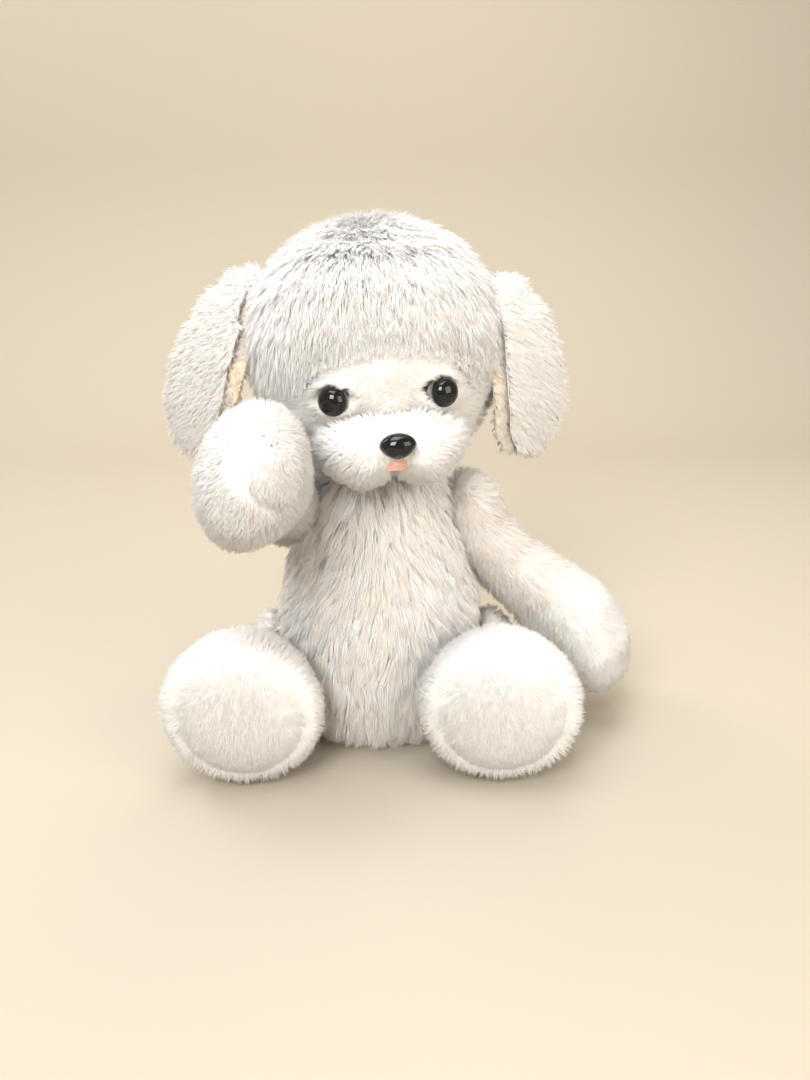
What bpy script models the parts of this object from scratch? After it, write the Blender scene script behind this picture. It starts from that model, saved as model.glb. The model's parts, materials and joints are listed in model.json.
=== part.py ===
"""A sitting, disc-jointed plush dog with one arm raised.

Metres, +Z up. The dog faces -Y and sits on Z = 0, with X = 0 its middle plane.
Its own left is +X. Every soft form is a loft of oval rings: the outer one is the
sewn cover, the same form shrunk by the cloth is its cavity, and shrunk a little
more it is the stuffing.
"""

import math

import bmesh
import bpy
from mathutils import Matrix, Vector

MM = 0.001

# Cloth and clearances
WALL = 3.0 * MM  # plush cloth with its pile pressed down
GAP = 0.4 * MM  # between pieces that touch
RING_SIDES = 14
EAR_SIDES = 8
TURNED_STEPS = 14
SMALL_STEPS = 10
NUT_SIDES = 6
PAD_STEPS = 20

# Body
NECK = Vector((0, 0, 161)) * MM
SHOULDER = Vector((38, 0, 124)) * MM
SHOULDER_TILT = math.radians(18)
HIP = Vector((50, 0, 38)) * MM

# Head
HEAD_SHIFT = 3 * MM  # the stuffed head leans to its left of the neck bolt
HEAD_YAW = math.radians(7.5)
HEAD_ROLL = math.radians(-2.5)

# Face: places are in the head's own frame, in mm from the neck
DOME_STEPS = 5
EYE_PLACE = (27, 40.5)  # across and up
EYE_RADIUS = 7.5 * MM
EYE_BULGE = 6.0 * MM
EYE_STANDOFF = 0.8 * MM
EYE_SHANK_RADIUS = 1.6 * MM
EYE_SHANK_LENGTH = 10 * MM
EYE_WASHER_DEPTH = 6.8 * MM
NOSE_PLACE = (0, -74.2, 20.5)
NOSE_RADIUS = 9.0 * MM
NOSE_BULGE = 6.5 * MM
NOSE_FLATNESS = 0.68
NOSE_LIFT = math.radians(12)
NOSE_SHANK_RADIUS = 2.0 * MM
NOSE_SHANK_LENGTH = 12 * MM
NOSE_WASHER_DEPTH = 10 * MM
LOCK_WASHER_RADIUS = 5.5 * MM
LOCK_WASHER_ROOM = 6.3 * MM
MUZZLE_RINGS = 9
MUZZLE_CENTRE = (0, -48, 17)
MUZZLE_RADII = (37, 26, 19)
MUZZLE_BLUNTNESS = 0.85
MOUTH_PLACE = (0, -60, 7.5)
MOUTH_RADIUS = 3.4 * MM
FELT_THICKNESS = 1.1 * MM
FELT_STANDOFF = 0.3 * MM

# Arms: angle up from hanging, and how far the paw drifts away from the body
ARM_POSES = {"left": (0.0, 41 * MM), "right": (math.radians(115), 18.5 * MM)}

# Legs
SOLE_Y = -88 * MM
FOOT_SPLAY = {"left": 0.0, "right": 7.0}  # how far the foot turns out, in mm
SOLE_THICKNESS = 1.8 * MM
SOLE_RADII = (33 * MM, 34 * MM)
THIGH_BACK_Y = -53.5 * MM

# Disc joints, measured along the joint axis from the parent's outer face
FACE_GAP = 0.6 * MM
DISC_THICKNESS = 2.0 * MM
WASHER_THICKNESS = 1.2 * MM
WASHER_RADIUS = 6.0 * MM
BOLT_RADIUS = 2.0 * MM
BOLT_HEAD_RADIUS = 4.0 * MM
BOLT_HEAD_THICKNESS = 2.5 * MM
NUT_RADIUS = 4.2 * MM
NUT_THICKNESS = 3.3 * MM
HOLE_RADIUS = 2.4 * MM
BORE_RADIUS = 2.7 * MM
BORE_PLAY = 0.6 * MM
LOCK_WASHER_DROP = 2.0 * MM
DISC_RADII = {"neck": 17 * MM, "shoulder": 10 * MM, "hip": 11.5 * MM}

SIDES = {"left": 1, "right": -1}

COLOURS = {
    "long_plush": ((0.93, 0.92, 0.90), 0.95, 0.0),
    "short_plush": ((0.94, 0.91, 0.87), 0.95, 0.0),
    "lining_plush": ((0.93, 0.84, 0.76), 0.95, 0.0),
    "stuffing": ((0.95, 0.95, 0.94), 1.0, 0.0),
    "black_plastic": ((0.01, 0.01, 0.012), 0.08, 0.0),
    "felt": ((0.86, 0.52, 0.46), 0.9, 0.0),
    "hardboard": ((0.36, 0.22, 0.12), 0.8, 0.0),
    "steel": ((0.62, 0.62, 0.64), 0.35, 1.0),
    "white_plastic": ((0.85, 0.85, 0.83), 0.45, 0.0),
}


def clear_scene():
    for obj in list(bpy.data.objects):
        bpy.data.objects.remove(obj, do_unlink=True)
    for name in ("plush_dog", "cutters"):
        collection = bpy.data.collections.new(name)
        bpy.context.scene.collection.children.link(collection)
        yield collection


def material(name):
    """One material per object, named after it, in the colour of its kind."""
    kind = KINDS[name]
    colour, roughness, metallic = COLOURS[kind]
    made = bpy.data.materials.new(name)
    made.use_nodes = True
    shader = made.node_tree.nodes["Principled BSDF"]
    shader.inputs["Base Color"].default_value = (*colour, 1)
    shader.inputs["Roughness"].default_value = roughness
    shader.inputs["Metallic"].default_value = metallic
    made.diffuse_color = (*colour, 1)
    return made


def pivot(name, location):
    """An empty on a joint's axis, which the pieces that turn there hang from."""
    empty = bpy.data.objects.new(name, None)
    empty.empty_display_size = 0.01
    empty.location = location
    PARTS.objects.link(empty)
    return empty


def part(name, mesh, kind, parent, matrix=None):
    """A piece of the dog. A mesh without a matrix is in world coordinates."""
    KINDS[name] = kind
    obj = bpy.data.objects.new(name, mesh)
    obj.data.materials.append(material(name))
    obj.data.shade_smooth()
    PARTS.objects.link(obj)
    obj.parent = parent
    if matrix is None:
        mesh.transform(Matrix.Translation(-parent.location))
    else:
        obj.matrix_basis = Matrix.Translation(-parent.location) @ matrix
    return obj


def cutter(name, mesh, matrix=None):
    obj = bpy.data.objects.new(name, mesh)
    obj.hide_render = True
    obj.display_type = "WIRE"
    CUTTERS.objects.link(obj)
    obj.matrix_basis = matrix or Matrix()
    return obj


def boolean(obj, other, operation="DIFFERENCE"):
    modifier = obj.modifiers.new(other.name, "BOOLEAN")
    modifier.operation = operation
    modifier.solver = "EXACT"
    modifier.object = other


def mesh_of(bm, name):
    bmesh.ops.recalc_face_normals(bm, faces=bm.faces)
    mesh = bpy.data.meshes.new(name)
    bm.to_mesh(mesh)
    bm.free()
    return mesh


def form(name, stations, side, grow=0.0, cuts=(), frame=None, sides=RING_SIDES):
    """A closed loft. A station is (centre, half width along side, half width across).

    grow moves the surface out, or in where it is negative. A cut is (point, normal):
    the form ends there in a flat face, which moves with the surface.
    """
    bm = bmesh.new()
    rings = []
    centres = [Vector(station[0]) for station in stations]
    for i, (_, half_side, half_up) in enumerate(stations):
        before = centres[max(i - 1, 0)]
        after = centres[min(i + 1, len(centres) - 1)]
        along = (after - before).normalized()
        across = (side - along * side.dot(along)).normalized()
        up = along.cross(across)
        ring = []
        for step in range(sides):
            turn = 2 * math.pi * (step + 0.5) / sides
            offset = across * half_side * math.cos(turn) + up * half_up * math.sin(turn)
            ring.append(bm.verts.new(centres[i] + offset))
        rings.append(ring)
    for lower, upper in zip(rings, rings[1:]):
        for a in range(sides):
            b = (a + 1) % sides
            bm.faces.new((lower[a], lower[b], upper[b], upper[a]))
    bm.faces.new(rings[0])
    bm.faces.new(rings[-1])
    if frame is not None:
        bm.transform(frame)
    bmesh.ops.recalc_face_normals(bm, faces=bm.faces)
    bmesh.ops.triangulate(bm, faces=bm.faces)
    bm.normal_update()
    moves = [vertex.normal * grow for vertex in bm.verts]
    for vertex, move in zip(bm.verts, moves):
        vertex.co += move
    for point, normal in cuts:
        everything = bm.verts[:] + bm.edges[:] + bm.faces[:]
        bmesh.ops.bisect_plane(
            bm,
            geom=everything,
            plane_co=point + normal * grow,
            plane_no=normal,
            clear_outer=True,
        )
        open_edges = [edge for edge in bm.edges if edge.is_boundary]
        bmesh.ops.holes_fill(bm, edges=open_edges, sides=0)
    return mesh_of(bm, name)


def turned(name, profile, steps=TURNED_STEPS):
    """A profile of (radius, height) points, run down its outer side, turned about Z."""
    mesh = bpy.data.meshes.new(name)
    closed = profile[0][0] > 0
    points = [(radius, 0, height) for radius, height in profile]
    edges = [(i, i + 1) for i in range(len(points) - 1)]
    if closed:
        edges.append((len(points) - 1, 0))
    mesh.from_pydata(points, edges, [])
    return mesh, steps


def screw(obj, steps):
    modifier = obj.modifiers.new("turn", "SCREW")
    modifier.axis = "Z"
    modifier.angle = 2 * math.pi
    modifier.steps = steps
    modifier.render_steps = steps
    modifier.use_merge_vertices = True
    modifier.merge_threshold = 0.00001
    modifier.use_smooth_shade = True


def turned_part(name, profile, kind, parent, matrix, steps=TURNED_STEPS):
    mesh, steps = turned(name, profile, steps)
    obj = part(name, mesh, kind, parent, matrix)
    screw(obj, steps)
    return obj


def turned_cutter(name, profile, matrix, steps=TURNED_STEPS):
    mesh, steps = turned(name, profile, steps)
    obj = cutter(name, mesh, matrix)
    screw(obj, steps)
    return obj


def facing(point, axis):
    """The frame whose origin is the point and whose Z is the axis."""
    return Matrix.Translation(point) @ Vector(axis).to_track_quat("Z", "Y").to_matrix().to_4x4()


def rod(radius, low, high):
    return [(0, high), (radius, high), (radius, low), (0, low)]


def ring(outer, inner, low, high):
    return [(outer, high), (outer, low), (inner, low), (inner, high)]


def box_mesh(name, low, high):
    bm = bmesh.new()
    bmesh.ops.create_cube(bm, size=1)
    size = Vector(high) - Vector(low)
    middle = (Vector(high) + Vector(low)) / 2
    bmesh.ops.scale(bm, vec=size, verts=bm.verts)
    bmesh.ops.translate(bm, vec=middle, verts=bm.verts)
    return mesh_of(bm, name)


class DiscJoint:
    """Two hardboard discs on one bolt, which clamp the parent's cloth to the limb's."""

    def __init__(self, name, kind, point, axis):
        self.name = name
        self.point = Vector(point)
        self.axis = Vector(axis).normalized()
        self.frame = facing(self.point, self.axis)
        self.disc = DISC_RADII[kind]
        self.inner = WALL + 0.6 * MM
        self.outer = FACE_GAP + WALL + 0.6 * MM
        self.washer_in = self.inner + DISC_THICKNESS + GAP
        self.head = self.washer_in + WASHER_THICKNESS + GAP
        self.washer_out = self.outer + DISC_THICKNESS + GAP
        self.nut = self.washer_out + WASHER_THICKNESS + GAP
        self.tip = self.nut + NUT_THICKNESS + 1.2 * MM

    def parent_cut(self):
        return (self.point, self.axis)

    def limb_cut(self):
        return (self.point + self.axis * FACE_GAP, -self.axis)

    def bore(self):
        reach = WALL + FACE_GAP + 1.2 * MM
        return turned_cutter(self.name + "_bore", rod(BORE_RADIUS, -reach, reach), self.frame)

    def pocket(self, side):
        """The room in the stuffing for a disc and the hardware behind it."""
        low = 1.5 * MM
        step = (self.inner if side < 0 else self.outer) + DISC_THICKNESS + 0.3 * MM
        end = (self.head + BOLT_HEAD_THICKNESS if side < 0 else self.tip) + 0.6 * MM
        wide = self.disc + 0.8 * MM
        narrow = WASHER_RADIUS + 0.8 * MM
        profile = [(0, end), (narrow, end), (narrow, step), (wide, step), (wide, low), (0, low)]
        name = self.name + ("_inner_pocket" if side < 0 else "_outer_pocket")
        return turned_cutter(name, profile, facing(self.point, self.axis * side))

    def build(self, parent, limb):
        """The bolt, nut and washers stay with the parent, and the far disc turns with the limb."""
        disc_low, disc_high = -self.inner - DISC_THICKNESS, -self.inner
        profile = ring(self.disc, HOLE_RADIUS, disc_low, disc_high)
        turned_part(self.name + "_inner_disc", profile, "hardboard", parent, self.frame)
        profile = ring(self.disc, HOLE_RADIUS, self.outer, self.outer + DISC_THICKNESS)
        turned_part(self.name + "_outer_disc", profile, "hardboard", limb, self.frame)
        low = -self.washer_in - WASHER_THICKNESS
        profile = ring(WASHER_RADIUS, HOLE_RADIUS, low, -self.washer_in)
        turned_part(self.name + "_inner_washer", profile, "steel", parent, self.frame, SMALL_STEPS)
        high = self.washer_out + WASHER_THICKNESS
        profile = ring(WASHER_RADIUS, HOLE_RADIUS, self.washer_out, high)
        turned_part(self.name + "_outer_washer", profile, "steel", parent, self.frame, SMALL_STEPS)
        bolt = [
            (0, self.tip),
            (BOLT_RADIUS, self.tip),
            (BOLT_RADIUS, -self.head),
            (BOLT_HEAD_RADIUS, -self.head),
            (BOLT_HEAD_RADIUS, -self.head - BOLT_HEAD_THICKNESS),
            (0, -self.head - BOLT_HEAD_THICKNESS),
        ]
        turned_part(self.name + "_bolt", bolt, "steel", parent, self.frame, SMALL_STEPS)
        profile = ring(NUT_RADIUS, HOLE_RADIUS, self.nut, self.nut + NUT_THICKNESS)
        turned_part(self.name + "_nut", profile, "steel", parent, self.frame, NUT_SIDES)


def stuffed(name, stations, side, cuts, kind, parent, carves=(), frame=None, trims=()):
    """A sewn cover and the stuffing in it.

    carves are the cutters of (cover, stuffing); trims make a cutter for a given growth.
    """
    cover = part(name + "_cover", form(name, stations, side, 0, cuts, frame), kind, parent)
    cavity = cutter(name + "_cavity", form(name, stations, side, -WALL, cuts, frame))
    depth = WALL + GAP
    fill_mesh = form(name, stations, side, -depth, cuts, frame)
    fill = part(name + "_stuffing", fill_mesh, "stuffing", parent)
    for trim in trims:
        boolean(cover, trim(0))
        boolean(cavity, trim(WALL))
        boolean(fill, trim(depth))
    boolean(cover, cavity)
    for in_cover, in_fill in carves:
        if in_cover:
            boolean(cover, in_cover)
        if in_fill:
            boolean(fill, in_fill)
    return cover


def heights(rows):
    """Stations of an upright form from rows of (height, half width, half depth, y)."""
    return [(Vector((0, y, z)) * MM, width * MM, depth * MM) for z, width, depth, y in rows]


BODY_ROWS = [
    (-5, 26, 24, 0),
    (4, 46, 41, 0),
    (20, 54, 47, -2),
    (45, 59, 50, -3),
    (72, 58, 48, -3),
    (100, 49, 44, -1),
    (125, 40, 39, 0),
    (143, 34, 34, 0),
    (156, 28, 28, 0),
    (167, 17, 18, 0),
]

HEAD_ROWS = [
    (-6, 18, 18, 0),
    (3, 37, 35, -2),
    (14, 50, 45, -4),
    (30, 58, 50, -5),
    (50, 61, 52, -5),
    (72, 61, 52, -3),
    (90, 54, 47, -2),
    (104, 41, 37, 0),
    (113, 25, 23, 0),
    (117, 9, 8, 0),
]


def build_body(joints):
    carves = [(joint.bore(), joint.pocket(-1)) for joint in joints]
    cuts = [(Vector((0, 0, 0)), Vector((0, 0, -1)))]
    cuts += [joint.parent_cut() for joint in joints]
    stations = heights(BODY_ROWS)
    stuffed("body", stations, Vector((1, 0, 0)), cuts, "long_plush", ROOT, carves)
    rows = [(46, 21, 3, 4), (50, 25, 8, 9), (57, 32, 9.5, 10.5), (64, 41, 9, 10), (69, 49, 5, 6)]
    tail = [(Vector((0, y, z)) * MM, a * MM, b * MM) for y, z, a, b in rows]
    tail_part = part("tail", form("tail", tail, Vector((1, 0, 0))), "short_plush", ROOT)
    near_body = form("near_body", stations, Vector((1, 0, 0)), GAP)
    boolean(tail_part, cutter("near_body", near_body))


def head_point(x, y, z):
    return HEAD @ (Vector((x, y, z)) * MM)


def head_axis(x, y, z):
    return (HEAD.to_3x3() @ Vector((x, y, z))).normalized()


def head_surface(x, z, rows=HEAD_ROWS):
    """The y of the head's front at x and z, and the way that it faces there."""
    for low, high in zip(rows, rows[1:]):
        if low[0] <= z <= high[0]:
            share = (z - low[0]) / (high[0] - low[0])
            width, depth, middle = (a + (b - a) * share for a, b in zip(low[1:], high[1:]))
    deep = math.sqrt(1 - (x / width) ** 2)
    return middle - depth * deep, Vector((x / width**2, -deep / depth, 0)).normalized()


def button(radius, bulge, shank_radius, shank_length):
    """The profile of a domed button with a shank behind it."""
    arc = [math.pi / 2 * (1 - step / DOME_STEPS) for step in range(DOME_STEPS + 1)]
    dome = [(radius * math.cos(a), bulge * math.sin(a)) for a in arc]
    dome[0] = (0, bulge)
    return dome + [(shank_radius, 0), (shank_radius, -shank_length), (0, -shank_length)]


def lock_washer(name, depth, head_empty, frame):
    profile = ring(LOCK_WASHER_RADIUS, HOLE_RADIUS, -depth, WASHER_THICKNESS - depth)
    turned_part(name, profile, "white_plastic", head_empty, frame, SMALL_STEPS)


def build_eyes(head_empty):
    """Domes on shanks that go through the cover into lock washers."""
    carves = []
    profile = button(EYE_RADIUS, EYE_BULGE, EYE_SHANK_RADIUS, EYE_SHANK_LENGTH)
    for side, sign in SIDES.items():
        x, z = EYE_PLACE[0] * sign, EYE_PLACE[1]
        y, out = head_surface(x, z)
        out = head_axis(*out)
        frame = facing(head_point(x, y, z) + out * EYE_STANDOFF, out)
        turned_part(f"eye_{side}", profile, "black_plastic", head_empty, frame)
        lock_washer(f"eye_washer_{side}", EYE_WASHER_DEPTH, head_empty, frame)
        bore = rod(EYE_SHANK_RADIUS + BORE_PLAY, -EYE_WASHER_DEPTH, WALL)
        room = rod(LOCK_WASHER_ROOM, -EYE_SHANK_LENGTH - BORE_PLAY * 2, WALL)
        carves.append((
            turned_cutter(f"eye_bore_{side}", bore, frame),
            turned_cutter(f"eye_room_{side}", room, frame),
        ))
    return carves


def build_face(head_empty):
    """The muzzle is a sewn snout with its own filling. The nose's shank goes into it."""
    half_width, half_depth, half_height = MUZZLE_RADII
    stations = []
    for step in range(MUZZLE_RINGS):
        turn = math.pi * (0.04 + 0.92 * step / (MUZZLE_RINGS - 1))
        centre = Vector(MUZZLE_CENTRE) - Vector((half_width * math.cos(turn), 0, 0))
        wide = math.sin(turn) ** MUZZLE_BLUNTNESS * MM
        stations.append((centre * MM, half_depth * wide, half_height * wide))
    forward = Vector((0, -1, 0))
    muzzle_mesh = form("muzzle", stations, forward, 0, (), HEAD)
    muzzle = part("muzzle", muzzle_mesh, "short_plush", head_empty)
    near_head = form("near_head", heights(HEAD_ROWS), Vector((1, 0, 0)), GAP, (), HEAD)
    boolean(muzzle, cutter("near_head", near_head))

    lift = Vector((0, -math.cos(NOSE_LIFT), math.sin(NOSE_LIFT)))
    frame = facing(head_point(*NOSE_PLACE), head_axis(*lift))
    profile = button(NOSE_RADIUS, NOSE_BULGE, NOSE_SHANK_RADIUS, NOSE_SHANK_LENGTH)
    oval = frame @ Matrix.Diagonal((1, NOSE_FLATNESS, 1, 1))
    turned_part("nose", profile, "black_plastic", head_empty, oval)
    lock_washer("nose_washer", NOSE_WASHER_DEPTH, head_empty, frame)
    bore = rod(NOSE_SHANK_RADIUS + BORE_PLAY, -half_depth * MM, WALL)
    boolean(muzzle, turned_cutter("nose_bore", bore, frame))
    room = rod(LOCK_WASHER_ROOM, -half_depth * 2 * MM, LOCK_WASHER_DROP - NOSE_WASHER_DEPTH)
    boolean(muzzle, turned_cutter("nose_room", room, frame))

    front = FELT_STANDOFF + FELT_THICKNESS
    mouth = part("mouth", form("mouth", stations, forward, front, (), HEAD), "felt", head_empty)
    window = facing(head_point(*MOUTH_PLACE), head_axis(*forward))
    edge = rod(MOUTH_RADIUS, 0, half_depth * MM)
    boolean(mouth, turned_cutter("mouth_edge", edge, window), "INTERSECT")
    back = form("mouth_back", stations, forward, FELT_STANDOFF, (), HEAD)
    boolean(mouth, cutter("mouth_back", back))


EARS = {
    "left": {
        "path": [(62, 0, 252), (69, -2, 247), (78, -5, 232), (83, -8, 212), (85, -9, 190),
                 (82, -9, 173), (80, -9, 164)],
        "across": Vector((0.8, 0.6, 0)),
    },
    "right": {
        "path": [(-56, 2, 256), (-65, 1, 251), (-79, -2, 236), (-90, -4, 215), (-97, -5, 192),
                 (-98, -5, 173), (-97, -5, 164)],
        "across": Vector((0.83, -0.55, 0)),
    },
}
EAR_HALF_WIDTHS = (8, 14, 19, 22.5, 22.5, 17, 8)
EAR_HALF_THICKNESS = 2.3


def build_ears(pivots):
    """Two cloths to an ear: the back one, and the lining that lies towards the head."""
    for side, ear in EARS.items():
        across = ear["across"]
        path = [Vector(point) for point in ear["path"]]
        for layer, sign in (("back", 1), ("lining", -1)):
            stations = []
            for i, half in enumerate(EAR_HALF_WIDTHS):
                along = path[min(i + 1, len(path) - 1)] - path[max(i - 1, 0)]
                out = across.cross(along).normalized()
                out *= SIDES[side] * (1 if out.x > 0 else -1)
                centre = path[i] + out * sign * (EAR_HALF_THICKNESS + 0.2)
                stations.append((centre * MM, half * MM, EAR_HALF_THICKNESS * MM))
            kind = "short_plush" if layer == "back" else "lining_plush"
            name = f"ear_{layer}_{side}"
            part(name, form(name, stations, across, sides=EAR_SIDES), kind, pivots[side])


ARM_ROWS = [
    (-21, 0, 5, 7),
    (-17, 0, 12, 14),
    (-6, 0, 18, 20),
    (14, 0.02, 18, 20.5),
    (38, 0.25, 17.5, 21),
    (60, 0.6, 20.5, 26),
    (82, 0.9, 25, 34),
    (102, 1, 26.5, 37),
    (118, 1, 22.5, 31),
    (128, 1, 14, 19),
    (133, 1, 5, 7),
]


def build_arm(side, joint, empty):
    """Rows are (distance from the shoulder, share of the drift, half thickness, half breadth)."""
    angle, drift = ARM_POSES[side]
    down = Vector((joint.axis.z * SIDES[side], 0, -abs(joint.axis.x)))
    ahead = Vector((0, -1, 0))
    along = down * math.cos(angle) + ahead * math.sin(angle)
    stations = []
    for distance, share, thick, broad in ARM_ROWS:
        out = 14 * MM + drift * share
        centre = joint.point + along * distance * MM + joint.axis * out
        stations.append((centre, thick * MM, broad * MM))
    carves = [(joint.bore(), joint.pocket(1))]
    name = f"arm_{side}"
    cuts = [joint.limb_cut()]
    stuffed(name, stations, joint.axis, cuts, "short_plush", empty, carves)

    palm_axis = (along - joint.axis * 0.45).normalized()
    pad_name = f"palm_pad_{side}"
    pad = part(pad_name, form(pad_name, stations, joint.axis, 1.7 * MM), "short_plush", empty)
    middle = stations[7][0] - joint.axis * 3 * MM
    window = facing(middle, palm_axis)
    edge = turned_cutter(pad_name + "_edge", rod(17 * MM, 8 * MM, 60 * MM), window, PAD_STEPS)
    boolean(pad, edge, "INTERSECT")
    boolean(pad, cutter(pad_name + "_back", form(pad_name, stations, joint.axis, 0.3 * MM)))


FOOT_Y = -64
LEG_ROWS = [
    (25, 64.5, 36, 6, 11),
    (20, 64.5, 36, 12, 22),
    (9, 64.5, 35.5, 15.5, 30),
    (-16, 64.5, 35, 15.5, 32),
    (-38, 65, 36, 16, 33),
    (-52, 64, 39, 25, 36.5),
    (-64, 64, 42.5, 39, 41.5),
    (-76, 64, 43.5, 43, 43),
    (-85, 64, 43.5, 41.5, 41.5),
    (-93, 64, 43.5, 33, 34),
]


def build_leg(side, joint, empty):
    """Rows are (y, x, z, half width, half height)."""
    sign = SIDES[side]
    stations = []
    for y, x, z, wide, tall in LEG_ROWS:
        x += FOOT_SPLAY[side] * min(max((y + 16) / (FOOT_Y + 16), 0), 1)
        stations.append((Vector((x * sign, y, z)) * MM, wide * MM, tall * MM))

    def body_room(inset):
        """The thigh's flat inner face, and the back of the foot where it spreads inwards."""
        face = HIP.x + FACE_GAP + inset
        low = Vector((-20 * MM, THIGH_BACK_Y - inset, -20 * MM))
        high = Vector((face, 60 * MM, 100 * MM))
        if sign < 0:
            low.x, high.x = -high.x, -low.x
        return cutter(f"leg_{side}_room", box_mesh("room", low, high))

    name = f"leg_{side}"
    cuts = [(Vector((0, SOLE_Y, 0)), Vector((0, -1, 0)))]
    carves = [(joint.bore(), joint.pocket(1))]
    across = Vector((1, 0, 0))
    stuffed(name, stations, across, cuts, "short_plush", empty, carves, None, (body_room,))

    centre = Vector((stations[-1][0].x, SOLE_Y - GAP, stations[-1][0].z))
    bm = bmesh.new()
    bmesh.ops.create_cone(
        bm, cap_ends=True, segments=PAD_STEPS, radius1=1, radius2=1, depth=SOLE_THICKNESS
    )
    bmesh.ops.scale(bm, vec=(SOLE_RADII[0], SOLE_RADII[1], 1), verts=bm.verts)
    bmesh.ops.translate(bm, vec=(0, 0, SOLE_THICKNESS / 2), verts=bm.verts)
    sole_name = f"sole_pad_{side}"
    matrix = Matrix.Translation(centre) @ Matrix.Rotation(math.pi / 2, 4, "X")
    part(sole_name, mesh_of(bm, sole_name), "short_plush", empty, matrix)


def main():
    neck = DiscJoint("neck", "neck", NECK, (0, 0, 1))
    neck_pivot = pivot("neck_pivot", NECK)
    joints = [neck]
    limbs = []
    for side, sign in SIDES.items():
        tilted = (math.cos(SHOULDER_TILT) * sign, 0, math.sin(SHOULDER_TILT))
        place = Vector((SHOULDER.x * sign, SHOULDER.y, SHOULDER.z))
        shoulder = DiscJoint(f"shoulder_{side}", "shoulder", place, tilted)
        place = Vector((HIP.x * sign, HIP.y, HIP.z))
        hip = DiscJoint(f"hip_{side}", "hip", place, (sign, 0, 0))
        joints += [shoulder, hip]
        limbs.append((build_arm, side, shoulder, pivot(f"shoulder_pivot_{side}", shoulder.point)))
        limbs.append((build_leg, side, hip, pivot(f"hip_pivot_{side}", hip.point)))

    build_body(joints)
    for build_limb, side, joint, empty in limbs:
        build_limb(side, joint, empty)
        joint.build(ROOT, empty)
    neck.build(ROOT, neck_pivot)
    carves = [(neck.bore(), neck.pocket(1))]
    carves += build_eyes(neck_pivot)
    across = Vector((1, 0, 0))
    cuts = [neck.limb_cut()]
    stations = heights(HEAD_ROWS)
    stuffed("head", stations, across, cuts, "long_plush", neck_pivot, carves, HEAD)
    build_face(neck_pivot)
    build_ears({side: pivot(f"ear_pivot_{side}", Vector(ear["path"][0]) * MM)
                for side, ear in EARS.items()})
    bpy.context.view_layer.update()


KINDS = {}
PARTS, CUTTERS = clear_scene()
ROOT = pivot("body_pivot", Vector((0, 0, 0)))
HEAD = (
    Matrix.Translation(NECK + Vector((HEAD_SHIFT, 0, FACE_GAP)))
    @ Matrix.Rotation(HEAD_YAW, 4, "Z")
    @ Matrix.Rotation(HEAD_ROLL, 4, "Y")
)
main()
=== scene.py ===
"""The looks of the sitting plush dog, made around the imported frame.

Each cover gets a soft form that follows its CAD solid, and a coat of tapered
strands that grows out of it. Metres, +Z up, and the dog faces -Y.
"""

import json
import math

import bmesh
import bpy
import numpy as np
from mathutils import Matrix, Vector
from mathutils.bvhtree import BVHTree
from mathutils.kdtree import KDTree


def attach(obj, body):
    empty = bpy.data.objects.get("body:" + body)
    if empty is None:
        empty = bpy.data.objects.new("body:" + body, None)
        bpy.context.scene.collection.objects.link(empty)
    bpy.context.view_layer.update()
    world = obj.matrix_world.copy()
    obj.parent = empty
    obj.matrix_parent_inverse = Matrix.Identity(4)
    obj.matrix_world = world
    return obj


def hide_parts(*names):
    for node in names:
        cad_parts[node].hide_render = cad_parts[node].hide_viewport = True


MM = 0.001

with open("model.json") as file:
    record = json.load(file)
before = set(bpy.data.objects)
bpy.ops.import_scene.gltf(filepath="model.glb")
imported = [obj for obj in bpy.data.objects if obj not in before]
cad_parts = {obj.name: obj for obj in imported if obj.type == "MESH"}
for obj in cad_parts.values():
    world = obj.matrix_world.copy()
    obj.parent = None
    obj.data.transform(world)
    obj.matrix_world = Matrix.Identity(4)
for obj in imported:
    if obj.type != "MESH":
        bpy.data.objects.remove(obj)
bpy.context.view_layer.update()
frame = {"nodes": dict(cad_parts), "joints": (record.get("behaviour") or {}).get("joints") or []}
JOINTS = {joint["name"]: joint for joint in frame["joints"]}
SIDES = {"left": 1, "right": -1}


def object_of(name, bm):
    """The new object that holds a bmesh, which is freed."""
    mesh = bpy.data.meshes.new(name)
    bm.to_mesh(mesh)
    bm.free()
    obj = bpy.data.objects.new(name, mesh)
    bpy.context.scene.collection.objects.link(obj)
    return obj


def join_loops(bm, loops, around):
    """Faces between closed loops of points. A loop of one point is a pole."""
    for lower, upper in zip(loops, loops[1:]):
        for step in range(around):
            after = (step + 1) % around
            corners = [lower[step % len(lower)], lower[after % len(lower)],
                       upper[after % len(upper)], upper[step % len(upper)]]
            bm.faces.new(list(dict.fromkeys(corners)))


def read(items, attribute, kind=np.float32):
    """One attribute of a mesh's points or edges, as a flat array."""
    flat = np.empty(len(items) * (3 if kind is np.float32 else 2), kind)
    items.foreach_get(attribute, flat)
    return flat


# ---------------------------------------------------------------- camera, light and floor

CAMERA_PLACE = Vector((15, -520, 296.4)) * MM
CAMERA_PITCH = math.radians(19.84)
CAMERA_ROLL = math.radians(-0.75)
CAMERA_LENS = 32.03
CAMERA_SENSOR = 36
CAMERA_NEAR = 0.01


def make_camera():
    camera = bpy.data.objects.new("camera", bpy.data.cameras.new("camera"))
    camera.data.lens = CAMERA_LENS
    camera.data.sensor_width = CAMERA_SENSOR
    camera.data.clip_start = CAMERA_NEAR
    camera.data.dof.use_dof = False
    tilt = Matrix.Rotation(math.pi / 2 - CAMERA_PITCH, 4, "X")
    camera.matrix_world = (
        Matrix.Translation(CAMERA_PLACE) @ tilt @ Matrix.Rotation(CAMERA_ROLL, 4, "Z")
    )
    bpy.context.scene.collection.objects.link(camera)
    bpy.context.scene.camera = camera


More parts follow.
